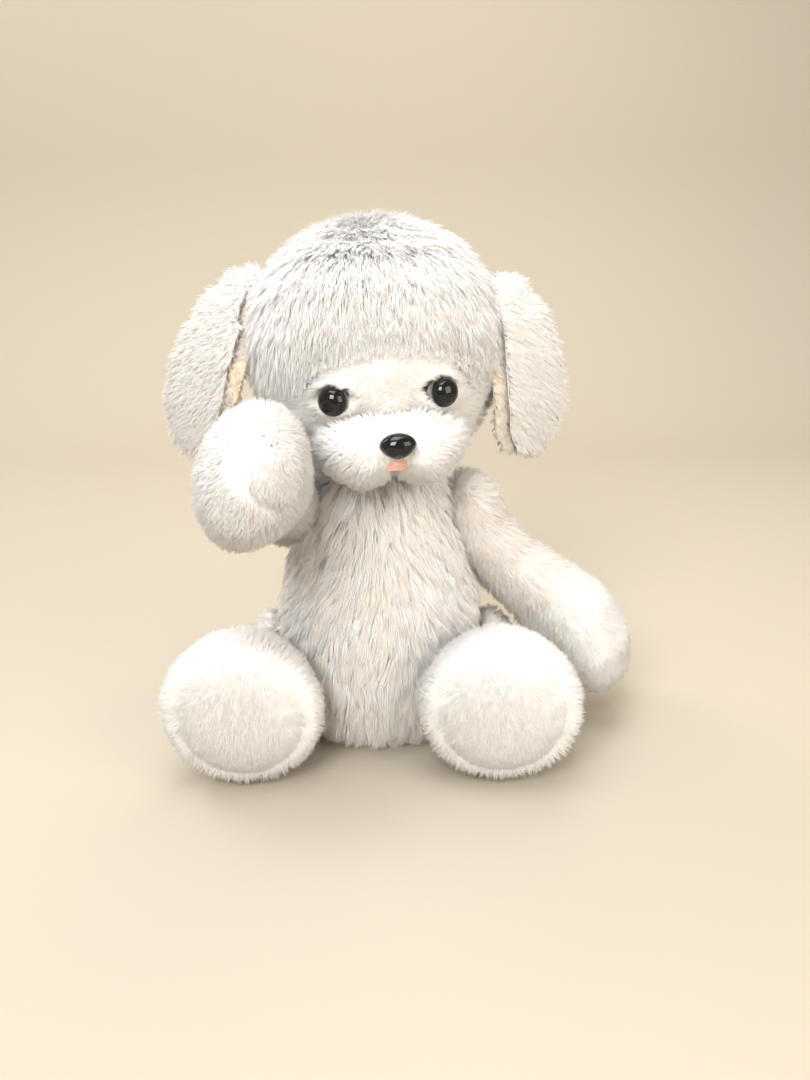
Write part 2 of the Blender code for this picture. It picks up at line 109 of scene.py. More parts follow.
def area_light(name, place, target, size, power, colour):
    light = bpy.data.objects.new(name, bpy.data.lights.new(name, "AREA"))
    light.data.shape = "SQUARE"
    light.data.size = size
    light.data.energy = power
    light.data.color = colour
    aim = (Vector(target) - Vector(place)).to_track_quat("-Z", "Y")
    light.matrix_world = Matrix.Translation(place) @ aim.to_matrix().to_4x4()
    bpy.context.scene.collection.objects.link(light)


LIT_MIDDLE = (0, 0, 0.14)
WALL_MIDDLE = (0, 0.95, 0.45)
LIGHTS = (  # name, place, target, size, watts, colour
    ("key", (-0.30, -0.95, 0.85), LIT_MIDDLE, 0.5, 11.0, (1.0, 0.99, 0.97)),
    ("fill", (0.85, -0.75, 0.55), LIT_MIDDLE, 0.8, 7.5, (1.0, 0.93, 0.84)),
    ("rim", (0.25, 0.55, 0.95), LIT_MIDDLE, 0.5, 3.0, (1.0, 0.95, 0.88)),
    ("back", (-0.95, 0.55, 1.05), LIT_MIDDLE, 0.6, 7.0, (1.0, 0.97, 0.93)),
    ("sky", (-0.10, -0.15, 1.1), LIT_MIDDLE, 0.6, 5.5, (0.92, 0.96, 1.0)),
    ("wall", (0.0, 0.30, 1.5), WALL_MIDDLE, 1.0, 3.5, (1.0, 0.94, 0.84)),
)
AIR_COLOUR = (1.0, 0.94, 0.86, 1)
AIR_STRENGTH = 0.52


def make_studio():
    world = bpy.data.worlds.new("studio")
    world.use_nodes = True
    background = world.node_tree.nodes["Background"]
    background.inputs["Color"].default_value = AIR_COLOUR
    background.inputs["Strength"].default_value = AIR_STRENGTH
    bpy.context.scene.world = world
    bpy.context.scene.view_settings.view_transform = "Standard"
    for light in LIGHTS:
        area_light(*light)


FLOOR_HALF_WIDTH = 3.0
FLOOR_FRONT = -3.0
WALL_PLACE = 0.95
WALL_HEIGHT = 2.4
SWEEP_RADIUS = 0.35
SWEEP_STEPS = 12
FLOOR_COLOUR = (0.48, 0.43, 0.35, 1)
FLOOR_ROUGHNESS = 0.75


def make_floor():
    """A floor that sweeps up into a wall behind the dog."""
    line = [(FLOOR_FRONT, 0.0), (WALL_PLACE - SWEEP_RADIUS, 0.0)]
    for step in range(1, SWEEP_STEPS + 1):
        turn = math.pi / 2 * step / SWEEP_STEPS
        line.append((WALL_PLACE - SWEEP_RADIUS + SWEEP_RADIUS * math.sin(turn),
                     SWEEP_RADIUS * (1 - math.cos(turn))))
    line.append((WALL_PLACE, WALL_HEIGHT))
    bm = bmesh.new()
    rows = [[bm.verts.new((x, y, z)) for x in (-FLOOR_HALF_WIDTH, FLOOR_HALF_WIDTH)]
            for y, z in line]
    for lower, upper in zip(rows, rows[1:]):
        bm.faces.new((lower[0], lower[1], upper[1], upper[0]))
    floor = object_of("floor", bm)
    floor.data.shade_smooth()
    material = bpy.data.materials.new("floor")
    material.use_nodes = True
    shader = material.node_tree.nodes["Principled BSDF"]
    shader.inputs["Base Color"].default_value = FLOOR_COLOUR
    shader.inputs["Roughness"].default_value = FLOOR_ROUGHNESS
    floor.data.materials.append(material)


# ---------------------------------------------------------------- soft forms from the frame

def bvh_of(node):
    mesh = frame["nodes"][node].data
    points = [vertex.co for vertex in mesh.vertices]
    return BVHTree.FromPolygons(points, [tuple(face.vertices) for face in mesh.polygons])


def points_of(node):
    return get_points(frame["nodes"][node])


def band_centre(node, origin, near, far):
    """The middle of the node's points between two distances from the origin."""
    points = points_of(node)
    reach = np.linalg.norm(points - np.array(origin), axis=1)
    band = points[(reach >= near) & (reach < far)]
    return Vector((band.min(0) + band.max(0)) / 2)


def unit(vectors):
    return vectors / np.maximum(np.linalg.norm(vectors, axis=-1, keepdims=True), 1e-12)


RAY_START = 0.3
TANGENT_REACH = 0.15


def spine_form(name, node, spine, side, rings, around, cap_share=0.3, flat=1.0):
    """A closed skin on a CAD node, found by rays that run in towards its spine.

    The rings fan over both ends and step along the spine between them. flat is below 1
    for a thin form, so that its edges get their share of the rays.
    """
    tree = bvh_of(node)
    spine = [Vector(point) for point in spine]
    lengths = [0.0]
    for a, b in zip(spine, spine[1:]):
        lengths.append(lengths[-1] + (b - a).length)

    def on_spine(share):
        if len(spine) == 1:
            return spine[0]
        at = share * lengths[-1]
        for i in range(len(spine) - 1):
            if at <= lengths[i + 1] or i == len(spine) - 2:
                step = (at - lengths[i]) / (lengths[i + 1] - lengths[i])
                return spine[i].lerp(spine[i + 1], step)

    def tangent(share):
        if len(spine) == 1:
            return Vector((0, 0, 1))
        ahead, behind = min(share + TANGENT_REACH, 1), max(share - TANGENT_REACH, 0)
        return (on_spine(ahead) - on_spine(behind)).normalized()

    bm = bmesh.new()
    loops = []
    cap = int(rings * (0.5 if len(spine) == 1 else cap_share))
    for ring in range(rings + 1):
        if ring <= cap:
            polar, share = math.pi * (1 - 0.5 * ring / cap), 0.0
        elif ring >= rings - cap:
            polar, share = math.pi / 2 * (rings - ring) / cap, 1.0
        else:
            polar, share = math.pi / 2, (ring - cap) / (rings - 2 * cap)
        centre = on_spine(share)
        along = tangent(share)
        across = (side - along * side.dot(along)).normalized()
        up = along.cross(across)
        count = 1 if ring in (0, rings) else around
        loop = []
        for step in range(count):
            turn = 2 * math.pi * step / around
            radial = (across * math.cos(turn) + up * math.sin(turn) * flat).normalized()
            out = along * math.cos(polar) + radial * math.sin(polar)
            hit = tree.ray_cast(centre + out * RAY_START, -out)[0]
            loop.append(bm.verts.new(hit if hit else centre))
        loops.append(loop)
    join_loops(bm, loops, around)
    bmesh.ops.recalc_face_normals(bm, faces=bm.faces)
    return object_of(name, bm)


def get_points(obj):
    return read(obj.data.vertices, "co").reshape(-1, 3).astype(float)


def set_points(obj, points):
    obj.data.vertices.foreach_set("co", points.astype(np.float32).ravel())
    obj.data.update()


SKIN_FLOOR = 0.3 * MM
SOLE_FLOOR = 1.5 * MM


def lift(obj, height):
    """Keeps a skin's lowest points above the floor."""
    points = get_points(obj)
    points[:, 2] = np.maximum(points[:, 2], height)
    set_points(obj, points)


SMOOTHING = (0.5, -0.52)  # a step in, and a slightly larger step out


def smooth(obj, rounds, keep_floor=True):
    """Taubin smoothing, which rounds off the CAD solid's facets without shrinking it."""
    a, b = read(obj.data.edges, "vertices", np.int32).reshape(-1, 2).T
    points = get_points(obj)
    count = np.bincount(np.concatenate([a, b]), minlength=len(points))[:, None]
    for _ in range(rounds):
        for weight in SMOOTHING:
            total = np.zeros_like(points)
            np.add.at(total, a, points[b])
            np.add.at(total, b, points[a])
            points = points + weight * (total / count - points)
    set_points(obj, points)
    if keep_floor:
        lift(obj, SKIN_FLOOR)


SWELL_PRESSURE = 4.0
SWELL_FRAMES = 20
SWELL_STIFFNESS = 15
SWELL_SHEAR = 5
SWELL_BENDING = 0.5
SWELL_MASS = 0.3
SWELL_QUALITY = 5


def puff(obj, cap):
    """The padded cloth swells under its filling. No point moves further than cap."""
    before = get_points(obj)
    bpy.context.view_layer.objects.active = obj
    modifier = obj.modifiers.new("swell", "CLOTH")
    settings = modifier.settings
    settings.quality = SWELL_QUALITY
    settings.mass = SWELL_MASS
    settings.tension_stiffness = SWELL_STIFFNESS
    settings.compression_stiffness = SWELL_STIFFNESS
    settings.shear_stiffness = SWELL_SHEAR
    settings.bending_stiffness = SWELL_BENDING
    settings.use_pressure = True
    settings.uniform_pressure_force = SWELL_PRESSURE
    settings.effector_weights.gravity = 0
    modifier.point_cache.frame_start = 1
    modifier.point_cache.frame_end = SWELL_FRAMES
    for step in range(1, SWELL_FRAMES + 1):
        bpy.context.scene.frame_set(step)
    evaluated = obj.evaluated_get(bpy.context.evaluated_depsgraph_get())
    moved = get_points(evaluated) - before
    obj.modifiers.remove(modifier)
    bpy.context.scene.frame_set(1)
    length = np.linalg.norm(moved, axis=1, keepdims=True)
    moved *= np.minimum(1, cap / np.maximum(length, 1e-9))
    set_points(obj, before + moved)


def normals_of(obj):
    return read(obj.data.vertices, "normal").reshape(-1, 3).astype(float)


# ---------------------------------------------------------------- materials

STRAND_ROUGHNESS = 0.85
STRAND_SPECULAR = 0.25
STRAND_SHEEN = 0.25


def plain(name, colour):
    """A strand colour. Constant, as a strand is too thin to carry a pattern."""
    material = bpy.data.materials.new(name)
    material.use_nodes = True
    shader = material.node_tree.nodes["Principled BSDF"]
    shader.inputs["Base Color"].default_value = (*colour, 1)
    shader.inputs["Roughness"].default_value = STRAND_ROUGHNESS
    shader.inputs["Specular IOR Level"].default_value = STRAND_SPECULAR
    shader.inputs["Sheen Weight"].default_value = STRAND_SHEEN
    return material


FINE_SCALE = 9  # how much finer the second noise is
FINE_SHARE = 0.6


def patterned(name, dark, light, scale, roughness, metallic=0.0, spread=0.12):
    """Two colours mixed by fine and coarse noise, with the roughness varied too."""
    material = bpy.data.materials.new(name)
    material.use_nodes = True
    tree = material.node_tree
    shader = tree.nodes["Principled BSDF"]
    shader.inputs["Metallic"].default_value = metallic
    place = tree.nodes.new("ShaderNodeTexCoord")
    coarse = tree.nodes.new("ShaderNodeTexNoise")
    coarse.inputs["Scale"].default_value = scale
    coarse.inputs["Detail"].default_value = 6
    fine = tree.nodes.new("ShaderNodeTexNoise")
    fine.inputs["Scale"].default_value = scale * FINE_SCALE
    fine.inputs["Detail"].default_value = 3
    both = tree.nodes.new("ShaderNodeMath")
    both.operation = "MULTIPLY_ADD"
    both.inputs[1].default_value = FINE_SHARE
    tint = tree.nodes.new("ShaderNodeValToRGB")
    for stop, place_on_ramp, colour in zip(tint.color_ramp.elements, (0.35, 0.95), (dark, light)):
        stop.position = place_on_ramp
        stop.color = (*colour, 1)
    rough = tree.nodes.new("ShaderNodeMapRange")
    rough.inputs["To Min"].default_value = max(roughness - spread, 0.02)
    rough.inputs["To Max"].default_value = min(roughness + spread, 1)
    link = tree.links.new
    link(place.outputs["Object"], coarse.inputs["Vector"])
    link(place.outputs["Object"], fine.inputs["Vector"])
    link(fine.outputs["Fac"], both.inputs[0])
    link(coarse.outputs["Fac"], both.inputs[2])
    link(both.outputs["Value"], tint.inputs["Fac"])
    link(tint.outputs["Color"], shader.inputs["Base Color"])
    link(fine.outputs["Fac"], rough.inputs["Value"])
    link(rough.outputs["Result"], shader.inputs["Roughness"])
    return material


COOL = plain("strand_cool", (0.955, 0.96, 0.965))
WHITE = plain("strand_white", (0.965, 0.955, 0.935))
WARM = plain("strand_warm", (0.965, 0.925, 0.865))
# CREAM and PEACH: painted warm shade where a palette gives them a large share (the sides, back, tail, body
# undercoat, thighs and upper arms); in the ear linings they are partly the lining's own tint too.
CREAM = plain("strand_cream", (0.96, 0.885, 0.78))
PEACH = plain("strand_peach", (0.96, 0.87, 0.80))
# The backing is a darker cream than the strands, so the gaps between them show painted warm shade.
CLOTH = patterned("backing_cloth", (0.86, 0.79, 0.70), (0.94, 0.91, 0.87), 60, 0.92)
# The lining's ochre is partly the cloth's own tint and partly painted shade inside the ear.
LINING = patterned("lining_cloth", (0.86, 0.66, 0.42), (0.93, 0.80, 0.62), 60, 0.92)
GLOSS = patterned("black_gloss", (0.001, 0.001, 0.0015), (0.003, 0.003, 0.004), 90, 0.05, spread=0.02)
FELT = patterned("pink_felt", (0.70, 0.36, 0.31), (0.84, 0.50, 0.44), 700, 0.95, spread=0.04)
BOARD = patterned("hardboard", (0.20, 0.11, 0.05), (0.42, 0.27, 0.15), 240, 0.8)
STEEL = patterned("steel", (0.42, 0.42, 0.44), (0.66, 0.66, 0.68), 500, 0.32, 1.0)
PLASTIC = patterned("washer_plastic", (0.74, 0.74, 0.72), (0.84, 0.84, 0.82), 300, 0.4)


def wear(obj, *materials):
    obj.data.materials.clear()
    for material in materials:
        obj.data.materials.append(material)
    obj.data.shade_smooth()


def claim(obj, body, slot, *nodes):
    """The piece moves with a body, and stands for the CAD nodes."""
    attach(obj, body)
    if nodes:
        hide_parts(*nodes)


# ---------------------------------------------------------------- strands

RANDOM = np.random.default_rng(41)
DENSITY = 0.9
STRAND_FACES = {1: 4, 3: 16}  # a strand's triangles, by its steps
PIECE_FACES = 186000  # a coat with more is split
STRAND_FLOOR = 0.4 * MM
TIP_TAPER = 0.75
SOFTNESS = 0.6  # how far a strand is shaded like the skin it stands on


class Skin:
    """A skin's triangles, ready for strands to be rooted in them."""

    def __init__(self, obj):
        mesh = obj.data
        mesh.calc_loop_triangles()
        corners = np.empty(len(mesh.loop_triangles) * 3, np.int32)
        mesh.loop_triangles.foreach_get("vertices", corners)
        self.obj = obj
        self.corners = corners.reshape(-1, 3)
        self.points = get_points(obj)
        self.normals = normals_of(obj)
        a, b, c = (self.points[self.corners[:, k]] for k in range(3))
        size = np.linalg.norm(np.cross(b - a, c - a), axis=1) / 2
        self.area = size.sum()
        self.share = np.cumsum(size) / self.area

    def roots(self, density):
        """Points and normals, so many to the square millimetre."""
        count = int(self.area / MM**2 * density * DENSITY)
        pick = np.searchsorted(self.share, RANDOM.random(count)).clip(0, len(self.corners) - 1)
        u, v = RANDOM.random((2, count, 1))
        over = u + v > 1
        u, v = np.where(over, 1 - u, u), np.where(over, 1 - v, v)
        corners = self.corners[pick]

        def mixed(values):
            a, b, c = (values[corners[:, k]] for k in range(3))
            return a + (b - a) * u + (c - a) * v

        return mixed(self.points), unit(mixed(self.normals))


def bend(roots, normals, lean, rise, droop, length, steps):
    """Each strand's points: it leaves at the first rise and ends at the second."""
    flat = lean - normals * (lean * normals).sum(1, keepdims=True)
    flat = flat / np.maximum(np.linalg.norm(flat, axis=1, keepdims=True), 0.4)
    first, last = (normals * lift + flat * (1 - lift) for lift in rise)
    last = unit(last) + np.array([0, 0, -1.0]) * droop
    first, last = unit(first), unit(last)
    path = []
    for step in range(steps + 1):
        t = step / steps
        path.append(roots + length[:, None] * (first * (t - t * t / 2) + last * t * t / 2))
    return np.stack(path, 1)


def grow(name, body, slot, skin, density, keep, length, comb, palette, rise, droop, width,
         steps, clump, frizz=0.22):
    """A coat of closed, tapered strands. length, comb and keep take the roots and normals.

    palette is a list of (material, share). rise is how far a strand stands up from the skin
    at its root and at its tip. clump is how many strands gather, and how much.
    """
    roots, normals = skin.roots(density)
    kept = keep(roots, normals)
    roots, normals = roots[kept], normals[kept]
    count = len(roots)
    leaders = RANDOM.choice(count, max(count // clump[0], 1), replace=False)
    tree = KDTree(len(leaders))
    for i, leader in enumerate(leaders):
        tree.insert(roots[leader], i)
    tree.balance()
    mine = np.fromiter((tree.find(root)[1] for root in roots), int, count)

    lean = unit(comb(roots, normals))
    tall = length(roots, normals)
    sway = RANDOM.normal(0, frizz, (len(leaders), 3))
    grown = RANDOM.uniform(0.82, 1.12, len(leaders))
    jitter = RANDOM.normal(0, frizz * 0.7, (count, 3))
    tall = tall * grown[mine] * RANDOM.uniform(0.8, 1.08, count)
    own = bend(roots, normals, lean + sway[mine] + jitter, rise, droop, tall, steps)
    lead = bend(roots[leaders], normals[leaders], lean[leaders] + sway, rise, droop,
                tall[leaders], steps)
    share = clump[1] * (np.arange(steps + 1) / steps) ** 1.4
    paths = own + (lead[mine] - own) * share[None, :, None]
    paths[:, :, 2] = np.maximum(paths[:, :, 2], STRAND_FLOOR)

    chances = np.cumsum([row[1] for row in palette])
    tone = RANDOM.random(len(leaders))[mine] * 0.6 + RANDOM.random(count) * 0.4
    tone = np.argsort(np.argsort(tone)) / count * chances[-1]
    tint = np.searchsorted(chances, tone).clip(0, len(palette) - 1)

    faces = STRAND_FACES[steps]
    pieces = math.ceil(count * faces / PIECE_FACES)
    order = np.argsort(roots[:, 2])
    for part, chosen in enumerate(np.array_split(order, pieces)):
        suffix = f"_{part + 1}" if pieces > 1 else ""
        obj = strands(name + suffix, paths[chosen], tint[chosen], width * MM, normals[chosen])
        for material, _ in palette:
            obj.data.materials.append(material)
        claim(obj, body, slot)


def strands(name, paths, tint, width, normals):
    """Three-sided strands as one mesh, each closed at its root and drawn to a tip."""
    count, rows, _ = paths.shape
    steps = rows - 1
    along = unit(paths[:, -1] - paths[:, 0])
    across = unit(np.cross(along, RANDOM.normal(size=(count, 3))))
    other = np.cross(along, across)
    taper = 1 - TIP_TAPER * (np.arange(steps) / steps)
    turns = 2 * math.pi / 3 * np.arange(3)
    ring = across[:, None] * np.cos(turns)[:, None] + other[:, None] * np.sin(turns)[:, None]
    rings = paths[:, :steps, None] + ring[:, None] * (taper[:, None, None] * width / 2)
    points = np.concatenate([rings.reshape(count, -1, 3), paths[:, -1:]], 1)

    shape = [(0, 2, 1)]
    for step in range(steps - 1):
        for k in range(3):
            a, b = step * 3 + k, step * 3 + (k + 1) % 3
            shape += [(a, b, b + 3), (a, b + 3, a + 3)]
    last = (steps - 1) * 3
    shape += [(last + k, last + (k + 1) % 3, steps * 3) for k in range(3)]
    per = steps * 3 + 1
    faces = (np.arange(count)[:, None, None] * per + np.array(shape)).reshape(-1)

    mesh = bpy.data.meshes.new(name)
    mesh.vertices.add(count * per)
    mesh.vertices.foreach_set("co", points.astype(np.float32).ravel())
    mesh.loops.add(len(faces))
    mesh.loops.foreach_set("vertex_index", faces.astype(np.int32))
    mesh.polygons.add(len(faces) // 3)
    mesh.polygons.foreach_set("loop_start", np.arange(0, len(faces), 3, dtype=np.int32))
    mesh.polygons.foreach_set("material_index", np.repeat(tint, len(shape)).astype(np.int32))
    mesh.update(calc_edges=True)
    mesh.shade_smooth()
    around = np.concatenate([np.tile(ring, (1, steps, 1)), along[:, None]], 1)
    soft = unit(around * (1 - SOFTNESS) + normals[:, None] * SOFTNESS)
    mesh.normals_split_custom_set_from_vertices(soft.reshape(-1, 3))
    obj = bpy.data.objects.new(name, mesh)
    bpy.context.scene.collection.objects.link(obj)
    return obj


def ramp(values, low, high):
    """0 below low, 1 above high, and smooth between."""
    share = np.clip((values - low) / (high - low), 0, 1)
    return share * share * (3 - 2 * share)


def everywhere(roots, normals):
    return np.ones(len(roots), bool)


def steady(length):
    return lambda roots, normals: np.full(len(roots), length * MM)


def inset(obj, depth):
    set_points(obj, get_points(obj) - normals_of(obj) * depth * MM)


# ---------------------------------------------------------------- the head

HEAD_FOOT = Vector((3, 0, 161.6)) * MM
HEAD_YAW = math.radians(7.5)
HEAD_ROLL = math.radians(-2.5)
HEAD_TURN = np.array(Matrix.Rotation(HEAD_YAW, 3, "Z") @ Matrix.Rotation(HEAD_ROLL, 3, "Y"))
NOSE_TIP = np.array((0, -76, 21))
MOUTH = np.array((0, -73, 7))
CROWN = np.array((0, 50, 92))


def in_head(points):
    """World points in the head's own frame, in millimetres."""
    return (points - np.array(HEAD_FOOT)) @ HEAD_TURN / MM


def out_of_head(vectors):
    return vectors @ HEAD_TURN.T


def centre_of(node):
    return band_centre(node, (0, 0, 0), 0, 10)


def button_axis(button, washer, depth):
    """A button's base, and the way it faces, from its place and its washer's."""
    ring = centre_of(washer)
    out = (centre_of(button) - ring).normalized()
    return ring + out * depth, out


EYE_WASHER_DEPTH = 5.4 * MM
NOSE_WASHER_DEPTH = 9.4 * MM
EYES = {side: button_axis(f"eye_{side}", f"eye_washer_{side}", EYE_WASHER_DEPTH) for side in SIDES}
SOCKET_RISE = 3.8 * MM


def from_eyes(roots):
    """How far, in millimetres, the roots are from each eye's axis, and which way."""
    for base, out in EYES.values():
        apart = (roots - np.array(base)) / MM
        apart = apart - np.outer(apart @ np.array(out), np.array(out))
        yield np.linalg.norm(apart, axis=1), unit(apart)


def make_head_skins():
    middle = centre_of("head_cover")
    across = Vector(HEAD_TURN[:, 0])
    head = spine_form("head_skin", "head_cover", [middle], across, 64, 72)
    smooth(head, 6)
    puff(head, 2.5 * MM)
    inset(head, 2.6)
    points = get_points(head)
    for (apart, _), (_, out) in zip(from_eyes(points), EYES.values()):
        ahead = normals_of(head) @ np.array(out) > 0.3
        rise = SOCKET_RISE * np.exp(-(apart / 10) ** 4) * ahead
        points += np.outer(rise, np.array(out))
    set_points(head, points)
    muzzle = spine_form("muzzle_skin", "muzzle", [centre_of("muzzle")], across, 48, 56)
    smooth(muzzle, 3)
    puff(muzzle, 2.0 * MM)
    inset(muzzle, 2.0)
    points = get_points(muzzle)
    local = in_head(points)
    front = ramp(-local[:, 1], 50, 66)
    lobe = np.exp(-((np.abs(local[:, 0]) - 17) / 10) ** 2 - ((local[:, 2] - 12) / 12) ** 2)
    cleft = np.exp(-(local[:, 0] / 4.5) ** 2) * (1 - ramp(local[:, 2], 10, 17))
    push = front * (4.6 * lobe - 3.4 * cleft)
    low = 1 - ramp(local[:, 2], 8, 20)
    lift = low * (3.0 * cleft - 2.6 * np.exp(-((np.abs(local[:, 0]) - 17) / 9) ** 2))
    points += out_of_head(np.array([0, -1.0, -0.15])) * (push * MM)[:, None]
    points += out_of_head(np.array([0, 0, 1.0])) * (lift * MM)[:, None]
    set_points(muzzle, points)
    for obj, nodes, fill in ((head, ("head_cover", "head_stuffing"), 0.9), (muzzle, ("muzzle",), 0.8)):
        wear(obj, CLOTH)
        claim(obj, "head", "plush_short" if obj is muzzle else "plush_long", *nodes)
    return head, muzzle


EYE_CLEARING = 5.1
NOSE_CLEARING = (9.0, 6.4)  # across and up
MOUTH_CLEARING = 3.9


def clear_of_features(roots):
    """Roots that leave the eyes, the nose and the mouth bare."""
    local = in_head(roots)
    behind = local[:, 1] > 0
    clear = np.ones(len(local), bool)
    for apart, _ in from_eyes(roots):
        clear &= (apart > EYE_CLEARING) | behind
    nose = ((local - NOSE_TIP)[:, [0, 2]]) / np.array(NOSE_CLEARING)
    clear &= (np.linalg.norm(nose, axis=1) > 1.0) | behind
    mouth = (local - MOUTH)[:, [0, 2]]
    clear &= (np.linalg.norm(mouth, axis=1) > MOUTH_CLEARING) | behind
    return clear


def coat_head(head, muzzle):
    skin = Skin(head)

    def hairline(local):
        """How far a root is into the long mop: 0 on the face, 1 on the crown."""
        line = np.where(local[:, 1] < 0, 52 + 4 * np.cos(local[:, 0] / 14), 30)
        line = line - ramp(np.abs(local[:, 0]), 30, 56) * 26
        return ramp(local[:, 2], line, line + 44)

    def behind_muzzle(local):
        reach = (local - np.array((0, -48, 17))) / np.array((30, 60, 13))
        return np.linalg.norm(reach, axis=1) < 1

    def face(roots, normals):
        local = in_head(roots)
        mop = hairline(local)
        return (mop < 0.12) & clear_of_features(roots) & ~behind_muzzle(local) & (local[:, 2] > -2)

    def mop_front(roots, normals):
        local = in_head(roots)
        return (hairline(local) >= 0.12) & (local[:, 1] < 34)

    def mop_back(roots, normals):
        local = in_head(roots)
        return (hairline(local) >= 0.12) & (local[:, 1] >= 34)

    def from_crown(roots, normals):
        local = in_head(roots)
        away = unit(local - CROWN)
        away[:, 2] -= 0.45
        return out_of_head(away)

    def from_nose(roots, normals):
        local = in_head(roots)
        away = unit(local - NOSE_TIP)
        away[:, 0] *= 1.3
        away[:, 2] -= 0.35
        away = out_of_head(away)
        for apart, way in from_eyes(roots):
            away += way * (np.exp(-(apart / 11) ** 2) * 0.12)[:, None]
        return away

    def mop_length(roots, normals):
        local = in_head(roots)
        return (7 + 12 * hairline(local) + 2 * ramp(local[:, 2], 90, 112)) * MM

    def face_length(roots, normals):
        local = in_head(roots)
        side = ramp(np.abs(local[:, 0]), 30, 52)
        tall = 5.2 + 4.5 * side + 15 * hairline(local)
        for apart, _ in from_eyes(roots):
            tall *= 0.6 + 0.4 * ramp(apart, 8, 17)
        return tall * MM

    mop = [(COOL, 0.3), (WHITE, 0.55), (WARM, 0.15)]
    for name, keep, density in (("mop_front", mop_front, 3.5), ("mop_back", mop_back, 2.8)):
        grow(name, "head", "plush_long", skin, density, keep, mop_length, from_crown, mop,
             (0.65, 0.25), 0.25, 0.45, 3, (10, 0.12), 0.16)

    def mop_inside(roots, normals):
        return hairline(in_head(roots)) > 0.3

    grow("mop_undercoat", "head", "plush_long", skin, 4.2, mop_inside, steady(11), from_crown,
         [(COOL, 0.2), (WHITE, 0.8)], (0.75, 0.4), 0, 0.5, 1, (6, 0.1), 0.35)
    grow("face_pile", "head", "plush_short", skin, 3.4, face, face_length, from_nose,
         [(WHITE, 0.6), (WARM, 0.35), (CREAM, 0.05)], (0.85, 0.5), 0.05, 0.45, 1, (9, 0.3))

    def on_muzzle(roots, normals):
        return clear_of_features(roots) & ((normals @ HEAD_TURN)[:, 1] < 0.7)

    def muzzle_length(roots, normals):
        local = in_head(roots)
        from_tip = np.linalg.norm((local - NOSE_TIP)[:, [0, 2]], axis=1)
        return (3.2 + 4.6 * ramp(from_tip, 8, 32)) * MM

    grow("muzzle_pile", "head", "plush_short", Skin(muzzle), 4.0, on_muzzle, muzzle_length,
         from_nose, [(COOL, 0.25), (WHITE, 0.6), (WARM, 0.15)], (0.8, 0.45), 0.05, 0.43, 1, (12, 0.45), 0.3)


def turned_form(name, profile, steps, axes, flatness=1.0):
    """A solid of revolution around the axes' Z, from (radius, height) rows."""
    bm = bmesh.new()
    rows = []
    for radius, height in profile:
        if radius == 0:
            rows.append([bm.verts.new((0, 0, height))])
            continue
        rows.append([
            bm.verts.new((
                radius * math.cos(2 * math.pi * step / steps),
                radius * flatness * math.sin(2 * math.pi * step / steps),
                height,
            ))
            for step in range(steps)
        ])
    join_loops(bm, rows, steps)
    bm.transform(axes)
    bmesh.ops.recalc_face_normals(bm, faces=bm.faces)
    return object_of(name, bm)


EYE_RADIUS = 7.6 * MM
EYE_BULGE = 6.4 * MM
EYE_SHANK_RADIUS = 1.6 * MM
EYE_SHANK_LENGTH = 10 * MM
EYE_BACK = ((7.5 * MM, -0.6 * MM), (6.6 * MM, -2.4 * MM), (EYE_SHANK_RADIUS, -2.4 * MM))
NOSE_RADIUS = 9.1 * MM
NOSE_BULGE = 6.8 * MM
NOSE_SQUARENESS = 0.85
NOSE_FLATNESS = 0.70
NOSE_SHANK_RADIUS = 2 * MM
NOSE_SHANK_LENGTH = 12 * MM
NOSE_BACK = ((8.6 * MM, -0.8 * MM), (NOSE_SHANK_RADIUS, -0.8 * MM))
DOME_ROWS = 14


def make_features():
    """Glossy eyes and nose."""
    across = Vector(HEAD_TURN[:, 0])
    arc = [math.pi / 2 * (1 - row / DOME_ROWS) for row in range(DOME_ROWS + 1)]
    for side, (base, out) in EYES.items():
        profile = [(EYE_RADIUS * math.cos(a), EYE_BULGE * math.sin(a)) for a in arc[1:]]
        profile = [(0, EYE_BULGE), *profile, *EYE_BACK]
        profile += [(EYE_SHANK_RADIUS, -EYE_SHANK_LENGTH), (0, -EYE_SHANK_LENGTH)]
        turn = out.to_track_quat("Z", "Y").to_matrix().to_4x4()
        axes = Matrix.Translation(base) @ turn
        eye = turned_form(f"eye_button_{side}", profile, 48, axes)
        wear(eye, GLOSS)
        claim(eye, "head", "black_gloss", f"eye_{side}")
    base, out = button_axis("nose", "nose_washer", NOSE_WASHER_DEPTH)
    up = out.cross(across)
    axes = Matrix.Translation(base) @ Matrix((across, up, out)).transposed().to_4x4()
    profile = [(NOSE_RADIUS * math.cos(a) ** NOSE_SQUARENESS, NOSE_BULGE * math.sin(a))
               for a in arc[1:]]
    profile = [(0, NOSE_BULGE), *profile, *NOSE_BACK]
    profile += [(NOSE_SHANK_RADIUS, -NOSE_SHANK_LENGTH), (0, -NOSE_SHANK_LENGTH)]
    nose = turned_form("nose_button", profile, 64, axes, NOSE_FLATNESS)
    points = get_points(nose)
    local = (points - np.array(axes.translation)) @ np.array(axes.to_3x3())
    low = np.clip(-local[:, 1] / (6 * MM), 0, 1)
    shift = -0.22 * low * local[:, 0]
    front = ramp(local[:, 2], 0, 3 * MM)
    notch = np.exp(-(local[:, 0] / (1.6 * MM)) ** 2) * low * front
    lifted = 0.9 * MM * notch
    dent = sum(np.exp(-((local[:, 0] - sign * 4.2 * MM) / (1.5 * MM)) ** 2
                      - ((local[:, 1] + 2.6 * MM) / (1.0 * MM)) ** 2) for sign in (1, -1))
    moved = np.stack([shift, lifted, -0.7 * MM * dent * front], 1)
    set_points(nose, points + moved @ np.array(axes.to_3x3()).T)
    wear(nose, GLOSS)
    claim(nose, "head", "black_gloss", "nose")


